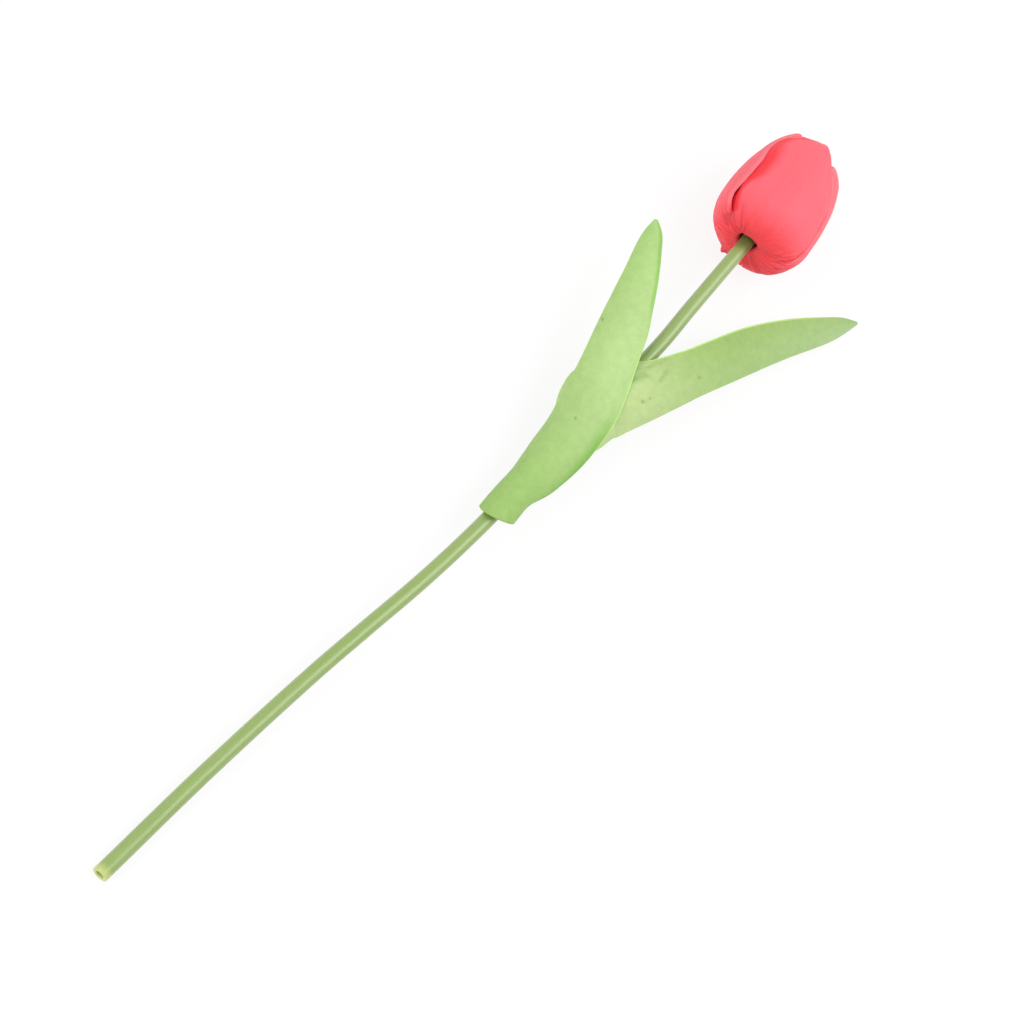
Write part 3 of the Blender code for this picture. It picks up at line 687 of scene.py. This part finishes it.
def leaf_foam(name, sleeve, blade, blade_span, tip, rim_highlight, highlight_side, highlight_end, left_shade_colour, shade):
    """Green foam that goes from one tone at the sleeve to another at the tip.

    blade_span holds the shares between which the sleeve's tone gives way to the blade's.
    left_shade_colour is painted shade on the left half of the blade, and shade is painted shade down
    the right flank and along its edge near the tip. rim_highlight is the colour of a painted
    highlight along one rim; highlight_side is +1 or -1 for that side, the left or the right one, and
    highlight_end holds the shares between which that highlight fades out.
    """
    material, shader = new_material(
        name, 0.68, FOAM_SPECULAR, Subsurface_Weight=0.10,
        Subsurface_Radius=(0.6, 1.0, 0.3), Subsurface_Scale=0.8 * MM)
    _, place, share, local = sheet_sockets(material)
    mottle = add_node(material, "TexNoise", {
        "Vector": local, "Scale": 1 / (MOTTLE_SIZE * MM), "Detail": 4.0, "Roughness": 0.62})
    pits = add_node(material, "TexVoronoi", {
        "Vector": local, "Scale": 1 / (PIT_SIZE * MM), "Randomness": 1.0})
    clouds = add_node(material, "TexNoise", {
        "Vector": local, "Scale": 1 / (SPRAY_CLOUD * MM), "Detail": 1.0, "Roughness": 0.5})

    # What each mask reads, where it starts, where it is full and how much of it is left outside.
    up_blade, to_tip, to_side, flank, past_mouth, flank_end, edge, tip_edge, highlight_band, off_tip = (
        add_node(material, "MapRange", {
            "Value": value, "From Min": start, "From Max": full, "To Min": least},
            interpolation_type="SMOOTHSTEP")
        for value, start, full, least in (
            (share["Y"], *blade_span, 0.0), (share["Y"], 0.62, 1.0, 0.0),
            (share["X"], -1.0, 1.0, 0.0), (share["X"], -0.35, -0.9, 0.0),
            (share["Y"], 0.10, 0.17, 0.0), (share["Y"], 0.44, 0.30, 0.12),
            (place["Z"], 1.7, 0.5, 0.0), (share["Y"], 0.62, 0.78, 0.0),
            (place["Z"], RIM_HIGHLIGHT_WIDTH, 0.0, 0.0), (share["Y"], highlight_end[1], highlight_end[0], 0.0)))
    on_side, pit_depth, mottle_tone, cloud_tone = (
        add_node(material, "MapRange", {
            "Value": value, "From Min": low, "From Max": high, "To Min": least, "To Max": most})
        for value, low, high, least, most in (
            (share["X"], -highlight_side, highlight_side, 0.15, 1.0), (pits, 0.05, 0.32, 0.0, 1.0),
            (mottle, 0.3, 0.7, 0.93, 1.05), (clouds, 0.3, 0.7, 0.96, 1.03)))
    # Pits are painted a little darker, as shade in their hollows.
    pit_shade = add_node(material, "MapRange", {"Value": pit_depth, "To Min": 0.965, "To Max": 1.0})
    # Masks for painted shade on the left half and down the right flank and edge, for a painted rim
    # highlight, and the tone.
    products = []
    for product, *others in (
            (to_side, up_blade), (flank, past_mouth, flank_end), (edge, tip_edge, flank),
            (highlight_band, on_side, past_mouth, off_tip), (mottle_tone, cloud_tone, pit_shade)):
        for other in others:
            product = add_node(material, "Math", {0: product, 1: other}, operation="MULTIPLY")
        products.append(product)
    left_shade, shaded, right_edge, painted_rim_highlight, tone = products
    # Painted shade on the right edge near the tip adds to that down the right flank.
    painted_shade = add_node(material, "Math", {
        0: right_edge, 1: EDGE_SHADE, 2: shaded}, operation="MULTIPLY_ADD")
    colour = hex_colour(sleeve)
    for amount, layer, blend in (
            (up_blade, blade, "MIX"), (to_tip, tip, "MIX"), (left_shade, left_shade_colour, "MULTIPLY"),
            (painted_shade, shade, "MULTIPLY"), (painted_rim_highlight, rim_highlight, "MIX"), (share["Z"], CREASE_SHADE_AND_SPECKS, "MIX")):
        colour = add_node(material, "Mix", {
            0: amount, 6: colour, 7: hex_colour(layer)}, data_type="RGBA", blend_type=blend)
    toned = add_node(material, "VectorMath", {0: colour, "Scale": tone}, operation="SCALE")
    relief = add_node(material, "Math", {
        0: pit_depth, 1: 0.5, 2: mottle}, operation="MULTIPLY_ADD")
    paint(material, shader, toned, relief, 0.12)
    return material


# Then a painted rim highlight, its side and fade, and painted shade for the left half and flank.
outer_foam = leaf_foam(
    "polyurethane foam, leaf green", "#95B867", "#AECA86", (0.06, 0.50), "#A8C97E", "#B4EC74",
    -1, (0.53, 0.62), "#F4FAEA", "#C6E8A2")
inner_foam = leaf_foam(
    "polyurethane foam, deep leaf green", "#B4C989", "#9DB974", (0.32, 0.58), "#9FBA82",
    "#B2E27A", 1, (0.75, 0.95), "#F0F5DC", "#FFFFFF")

# %% [markdown]
# ## The leaves
#
# Each leaf is pressed in one with a sleeve, and the sleeve is rolled and threaded over the stem.
# So a leaf is a tube that opens into a trough and then into a shallow blade. A curve with a bevel
# can't change its section that much, and a cage with Subdivision Surface would need many
# hand-placed points. Instead the leaf is lofted through stations: each gives the middle line's
# place, the width of the sheet laid flat, how far it curls and how far it leans. The creases and
# the ridge where the sleeve was rolled are drawn on the sheet as short lines that rise or sink.

# %% The leaves' stations
# Distance along the straight run of stem, offset to the left, height of the crown over the
# stem's axis, flat width, degrees of curl, degrees of lean to the left.
OUTER_LEAF = (
    (1.4, -0.95, 4.7, 33.2, 343, 0), (11, -0.4, 5.15, 32.6, 335, 0), (19, -1.1, 5.6, 28.4, 240, 0),
    (27, -1.05, 5.85, 25.8, 188, 0), (37, -0.2, 6.3, 22.2, 138, 2), (48, 2.4, 7.2, 20.3, 94, 6),
    (56, 5.15, 7.6, 19.0, 82, 9), (65, 8.55, 7.6, 17.6, 74, 12), (74.5, 12.0, 7.2, 16.6, 66, 15),
    (84, 15.75, 6.2, 14.2, 58, 17), (93.5, 19.4, 4.8, 11.7, 52, 19), (104, 23.8, 2.9, 8.5, 45, 20),
    (110.5, 26.4, 1.6, 5.7, 40, 20), (115.1, 28.5, 0.6, 1.0, 34, 20),
)
OUTER_MOUTH = (0.25, 0.6)  # how far it runs back for each unit left, and up
INNER_LEAF = (
    (8, 0.0, 3.56, 20.82, 335, 0), (18, 0.0, 3.62, 20.9, 315, 0), (30, 0.0, 3.85, 22.0, 238, 0),
    (37, 0.0, 4.05, 23.8, 188, 0), (43, 0.0, 4.35, 25.4, 151, 0), (48, 0.6, 4.65, 26.9, 126, -2),
    (52.5, 0.8, 4.85, 28.3, 111, -5), (58, -2.4, 4.95, 25.9, 98, -9),
    (67.5, -8.4, 4.95, 19.4, 82, -15), (82, -14.0, 3.5, 16.0, 66, -20),
    (90, -16.6, 1.9, 15.6, 60, -22), (108, -22.4, -2.4, 15.0, 52, -24),
    (125, -28.9, -7.4, 12.5, 46, -26), (142, -36.3, -13.5, 8.6, 38, -27),
    (151, -39.8, -17.0, 5.2, 34, -28), (157, -42.4, -19.2, 0.8, 30, -28),
)
INNER_MOUTH = (0.0, 0.0)
# Creases, ridges and specks: from and to in millimetres across and along the sheet, then the
# width, the height and how dark it is. The dark of a crease, of a ridge and of the hollow beside
# a ridge is painted shade.
OUTER_BLEMISHES = (
    ((2.15, 41.6), (2.15, 41.7), 0.45, -0.15, 0.8), ((7.16, 71.2), (7.16, 71.3), 0.45, -0.15, 0.8),
)
INNER_BLEMISHES = (
    ((6.1, 58.0), (6.4, 68.0), 0.8, 0.5, 0.22), ((6.4, 68.0), (6.6, 73.0), 0.7, 0.4, 0.18),
    ((6.6, 73.0), (7.3, 77.5), 0.6, 0.3, 0.12), ((4.2, 58.0), (4.9, 64.5), 1.1, -0.3, 0.4),
    ((4.1, 72.0), (1.6, 66.0), 0.5, -0.3, 0.35), ((-3.3, 55.0), (-3.2, 55.4), 0.5, -0.2, 0.8),
    ((-2.7, 57.9), (-2.6, 58.1), 0.4, -0.15, 0.6), ((-1.6, 78.2), (-1.6, 78.5), 0.45, -0.2, 0.6),
)
MOUTH_RUN = 12.0
SLOPE_STEP = 5.0  # each side of a section, for the run of its middle line
LEAF_THICKNESS = 0.85
LEAF_RIM_SHARE = 0.55
LEAF_TAPER = 2.0
LEAF_ROWS = 220
LEAF_CROWDING = 1.15
LEAF_COLUMNS = 60
SKIN_BUMPS = ((0.10, 9.0, 0), (0.04, 2.5, 3))  # their height, their size, what the seed gains

# %% Build the leaves


def blemished(places, blemishes):
    """Heights and darkening of a leaf's creases, ridges and specks, each drawn along a line."""
    height, shade_and_specks = 0.0, 0.0
    for start, end, width, rise, dark in blemishes:
        run = np.subtract(end, start)
        from_start = places[..., :2] - start
        part = np.clip(from_start @ run / (run @ run), 0.0, 1.0)
        gap = np.linalg.norm(from_start - part[..., None] * run, axis=-1)
        closeness = np.exp(-((gap / width) ** 2))
        height = height + rise * closeness
        # On creases and ridges and beside them this darkening is painted shade.
        shade_and_specks = shade_and_specks + dark * closeness
    return height, np.minimum(shade_and_specks, 1.0)


def leaf(name, stations, mouth, blemishes, material, seed):
    """A foam leaf in one with its sleeve: arcs square to a middle line, then thickened."""
    first, last = stations[0][0], stations[-1][0]
    share = 1 - (1 - np.linspace(0, 1, LEAF_ROWS + 1)) ** LEAF_CROWDING
    along = first + (last - first) * share
    aside, crown_lift, width, curl, lean = through(stations, along).T
    middle = np.stack((along, aside, crown_lift), axis=1)
    behind, ahead = np.maximum(along - SLOPE_STEP, first), np.minimum(along + SLOPE_STEP, last)
    climb = through(stations, ahead)[:, :2] - through(stations, behind)[:, :2]
    tangent = unit(np.column_stack((ahead - behind, climb)))
    level_side = unit(np.cross(UP, tangent))
    level_crown = np.cross(tangent, level_side)
    lean, curl = np.radians(lean)[:, None], np.radians(curl)[:, None]
    side = level_side * np.cos(lean) - level_crown * np.sin(lean)
    crown = level_crown * np.cos(lean) + level_side * np.sin(lean)
    radius = width[:, None] / curl
    angle = curl * np.linspace(-0.5, 0.5, LEAF_COLUMNS + 1)[None, :]
    local = middle[:, None] + side[:, None] * (radius * np.sin(angle))[..., None]
    local = local + crown[:, None] * (radius * (np.cos(angle) - 1))[..., None]
    slant = 1 - ease(along, first, first + MOUTH_RUN)
    local[..., 0] -= slant[:, None] * (mouth[0] * local[..., 1] + mouth[1] * local[..., 2])

    places = sheet_places(local)
    rough = sum(high * unevenness(local, size, seed + step) for high, size, step in SKIN_BUMPS)
    height, shade_and_specks = blemished(places, blemishes)
    local = local + grid_normals(local) * (rough + height)[..., None]
    axes = np.stack((leaf_along, leaf_left, leaf_up))
    across = np.linspace(-1, 1, LEAF_COLUMNS + 1) * np.ones((LEAF_ROWS + 1, 1))
    shares = np.stack((across, share[:, None] + 0 * across, shade_and_specks), axis=-1)
    full = LEAF_RIM_SHARE + (1 - LEAF_RIM_SHARE) * ease(places[..., 2], 0.0, LEAF_TAPER)
    piece = thick_sheet(name, leaf_origin + local @ axes, LEAF_THICKNESS * full, places, shares)
    piece.data.materials.append(material)
    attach(piece, name)
    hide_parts(name)


leaf("inner_leaf", INNER_LEAF, INNER_MOUTH, INNER_BLEMISHES, inner_foam, 1.7)
leaf("outer_leaf", OUTER_LEAF, OUTER_MOUTH, OUTER_BLEMISHES, outer_foam, 8.2)

# %% [markdown]
# ## The stem
#
# The stem is an extruded polyethylene tube. A curve object with a bevel makes a round bar, but
# not an open tube with a wall, so the tube is swept here ring by ring, out along its skin and
# back down its bore. Its end was snipped with cutters: the cut is a little oblique, and its edges
# are slightly rounded.

# %% Build the stem tube
STEM_SIDES = 48
STEM_STEP = 2.0
CUT_SLANT = 0.14  # the cut end runs on this far for each unit upwards
CUT_FADE = 12.0  # how far from the cut end its slant fades out
EDGE_ROUND = 0.18  # radius of the worn edges of the cut


def sweep(name, rings):
    """Joins rings of points, the last to the first, into one closed surface."""
    count, sides = rings.shape[:2]
    index = np.arange(count * sides).reshape(count, sides)
    onward = np.roll(index, -1, axis=0)
    faces = np.stack((index, np.roll(index, -1, 1), np.roll(onward, -1, 1), onward), -1)
    return closed_piece(name, rings.reshape(-1, 3), faces.reshape(-1, 4))


def stem_tube():
    """The tube's skin, its far end, its bore and the rounded lip of its cut end."""
    count = round(STEM_LENGTH / STEM_STEP)
    far, near = STEM_LENGTH - EDGE_ROUND, STEM_START + EDGE_ROUND
    skin = [(d, STEM_RADIUS) for d in np.linspace(near, far, count)]
    bore = [(d, STEM_BORE) for d in np.linspace(far, near, count)]
    corners = np.radians((30, 60))
    end = STEM_RADIUS - EDGE_ROUND
    hole = STEM_BORE + EDGE_ROUND
    far_lip = [(far + EDGE_ROUND * sin(a), end + EDGE_ROUND * cos(a)) for a in corners]
    far_lip += [(STEM_LENGTH, end), (STEM_LENGTH, hole)]
    far_lip += [(far + EDGE_ROUND * cos(a), hole - EDGE_ROUND * sin(a)) for a in corners]
    near_lip = [(STEM_START + STEM_LENGTH - d, r) for d, r in reversed(far_lip)]
    outline = np.array(skin + far_lip + bore + near_lip)
    distances, radii = outline.T
    centres = stem_points(distances)
    ahead, behind = stem_points(distances + 0.5), stem_points(distances - 0.5)
    tangent = unit(ahead - behind)
    left = unit(np.cross(UP, tangent))
    upper = np.cross(tangent, left)
    angles = np.linspace(0, 2 * pi, STEM_SIDES, endpoint=False)
    ring = left[:, None] * np.cos(angles)[:, None] + upper[:, None] * np.sin(angles)[:, None]
    rings = centres[:, None] + ring * radii[:, None, None]
    fade = 1 - ease(distances, STEM_START, STEM_START + CUT_FADE)
    slant = CUT_SLANT * fade[:, None] * radii[:, None] * np.sin(angles)
    return sweep("stem_tube", rings + tangent[:, None] * slant[..., None])


stem = stem_tube()

# %% [markdown]
# ## Polyethylene, wire and core
#
# Polyethylene is waxy: it lets a little light in and has a satin gloss that draws one soft streak
# along a round stem. Its green is dyed right through, so the cut end shows the same colour, only
# paler where the cutters bruised it. A deeper green at the bud is a painted shadow of the bud.
# The iron wire in the bore and the plain foam core are hidden but for a glimpse, and keep the
# imported shapes.

# %% Polyethylene, dyed olive green
STREAK_LENGTH = 16.0  # millimetres along a streak in the dye
STREAK_WIDTH = 0.7
# Places along the stem where the painted shadow of the bud and the bruise begin to show, and
# where they are full.
BUD_SHADOW_SPAN = (bud_foot[0] - 6.5, bud_foot[0] - 1.5)
BRUISED = (ROUTE_START[0] + 1.5, ROUTE_START[0] - 1.2)

polyethylene, shader = new_material(
    "polyethylene, olive green", 0.36, 0.8, IOR=1.51, Sheen_Weight=0.2, Coat_Weight=0.6,
    Coat_Roughness=0.4, Subsurface_Weight=0.15, Subsurface_Radius=(0.7, 1.0, 0.3),
    Subsurface_Scale=1.0 * MM)
local = add_node(polyethylene, "TexCoord").outputs["Object"]
stretched = add_node(polyethylene, "VectorMath", {
    0: local, 1: (1 / (STREAK_LENGTH * MM), 1 / (STREAK_WIDTH * MM), 1 / (STREAK_WIDTH * MM))},
    operation="MULTIPLY")
streaks = add_node(polyethylene, "TexNoise", {
    "Vector": stretched, "Scale": 1.0, "Detail": 2.0, "Roughness": 0.5})
along = add_node(polyethylene, "SeparateXYZ", {"Vector": local}).outputs["X"]
bud_shadow, bruised = (
    add_node(polyethylene, "MapRange", {
        "Value": along, "From Min": start * MM, "From Max": full * MM},
        interpolation_type="SMOOTHSTEP")
    for start, full in (BUD_SHADOW_SPAN, BRUISED))
colour = hex_colour("#78943F")
# The bud's painted shadow darkens the stem just below it.
for amount, layer in ((streaks, "#8AA34F"), (bud_shadow, "#476418"), (bruised, "#B4BE62")):
    colour = add_node(polyethylene, "Mix", {
        0: amount, 6: colour, 7: hex_colour(layer)}, data_type="RGBA")
paint(polyethylene, shader, colour, streaks, 0.02)
stem.data.materials.append(polyethylene)
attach(stem, "flower")
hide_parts("stem_tube")

# %% Iron wire and plain foam
DRAWN_LENGTH = 6.0  # millimetres along a line that the die drew in the wire
DRAWN_WIDTH = 0.12
CELL_SIZE = 0.8  # millimetres across a cell of the cut foam

iron, shader = new_material("iron wire, drawn", 0.42, Metallic=1.0)
local = add_node(iron, "TexCoord").outputs["Object"]
drawn = add_node(iron, "VectorMath", {
    0: local, 1: (1 / (DRAWN_LENGTH * MM), 1 / (DRAWN_WIDTH * MM), 1 / (DRAWN_WIDTH * MM))},
    operation="MULTIPLY")
lines = add_node(iron, "TexNoise", {
    "Vector": drawn, "Scale": 1.0, "Detail": 2.0, "Roughness": 0.5})
grey = add_node(iron, "Mix", {
    0: lines, 6: hex_colour("#8E8F90"), 7: hex_colour("#B9BABB")}, data_type="RGBA")
paint(iron, shader, grey, lines, 0.01)

core_foam, shader = new_material("polyurethane foam, cut and dyed red", 0.85, 0.3)
local = add_node(core_foam, "TexCoord").outputs["Object"]
cells = add_node(core_foam, "TexVoronoi", {"Vector": local, "Scale": 1 / (CELL_SIZE * MM)})
red = add_node(core_foam, "Mix", {
    0: cells, 6: hex_colour("#8E2724"), 7: hex_colour("#B63A34")}, data_type="RGBA")
paint(core_foam, shader, red, cells, 0.2)

for node, material in (("stem_wire", iron), ("bud_core", core_foam)):
    frame["nodes"][node].data.materials.clear()
    frame["nodes"][node].data.materials.append(material)

# %% [markdown]
# ## The white sweep and the lights
#
# The flower lies on white paper under soft studio light. The paper is a plain diffuse surface
# that catches the flower's shadow, mixed for the camera's own rays with an even white, which keeps
# the background clean without pouring more light on the flower. One long soft box stands ahead
# and to the right, where its reflection draws the streak along the stem, a weaker one fills from
# behind the cut end on the left, and the white world does the rest.

# %% Lay the paper
PAPER_SIZE = 6.0
PAPER_CLEAN = 0.86  # share of even white in what the camera sees

mesh = bpy.data.meshes.new("paper")
half = PAPER_SIZE / 2
corners = [(-half, -half, 0), (half, -half, 0), (half, half, 0), (-half, half, 0)]
mesh.from_pydata(corners, [], [(0, 1, 2, 3)])
paper = bpy.data.objects.new("paper", mesh)
bpy.context.scene.collection.objects.link(paper)

white_paper, shader = new_material("white paper", 0.9, 0.2, Base_Color=hex_colour("#F4F4F4"))
rays = add_node(white_paper, "LightPath").outputs
seen = add_node(white_paper, "Math", {
    0: rays["Is Camera Ray"], 1: rays["Is Glossy Ray"]}, operation="ADD", use_clamp=True)
seen = add_node(white_paper, "Math", {
    0: seen, 1: rays["Is Transmission Ray"]}, operation="ADD", use_clamp=True)
amount = add_node(white_paper, "Math", {0: seen, 1: PAPER_CLEAN}, operation="MULTIPLY")
even = add_node(white_paper, "Emission", {"Color": (1.0, 1.0, 1.0, 1.0), "Strength": 1.0})
both = add_node(white_paper, "MixShader", {0: amount, 1: shader, 2: even})
white_paper.node_tree.links.new(
    first_output(both), white_paper.node_tree.nodes["Material Output"].inputs["Surface"])
mesh.materials.append(white_paper)

# %% Light the flower
WORLD_LIGHT = 0.71


def soft_box(name, place, target, size, power):
    """A rectangular lamp at a place, facing its target, with its long side along the stem."""
    lamp = bpy.data.lights.new(name, "AREA")
    lamp.shape = "RECTANGLE"
    lamp.size, lamp.size_y = size
    lamp.energy = power
    stand = bpy.data.objects.new(name, lamp)
    bpy.context.scene.collection.objects.link(stand)
    facing = (Vector(place) - Vector(target)).normalized()
    long_side = (Vector((1, 0, 0)) - facing * facing.x).normalized()
    turned = Matrix((long_side, facing.cross(long_side), facing)).transposed().to_4x4()
    stand.matrix_world = Matrix.Translation(place) @ turned


soft_box("key light", (0.40, -0.40, 0.82), (0.0, 0.0, 0.0), (0.95, 0.60), 5.4)
soft_box("fill light", (-0.62, 0.48, 0.60), (0.1, 0.0, 0.0), (0.8, 0.6), 3.9)

world = bpy.data.worlds.new("studio")
world.use_nodes = True
bpy.context.scene.world = world
surface = world.node_tree.nodes["Background"]
rays = add_node(world, "LightPath").outputs
seen = add_node(world, "Math", {
    0: rays["Is Camera Ray"], 1: rays["Is Glossy Ray"]}, operation="ADD", use_clamp=True)
strength = add_node(world, "MapRange", {"Value": seen, "To Min": WORLD_LIGHT, "To Max": 1.0})
surface.inputs["Color"].default_value = (1.0, 1.0, 1.0, 1.0)
world.node_tree.links.new(first_output(strength), surface.inputs["Strength"])
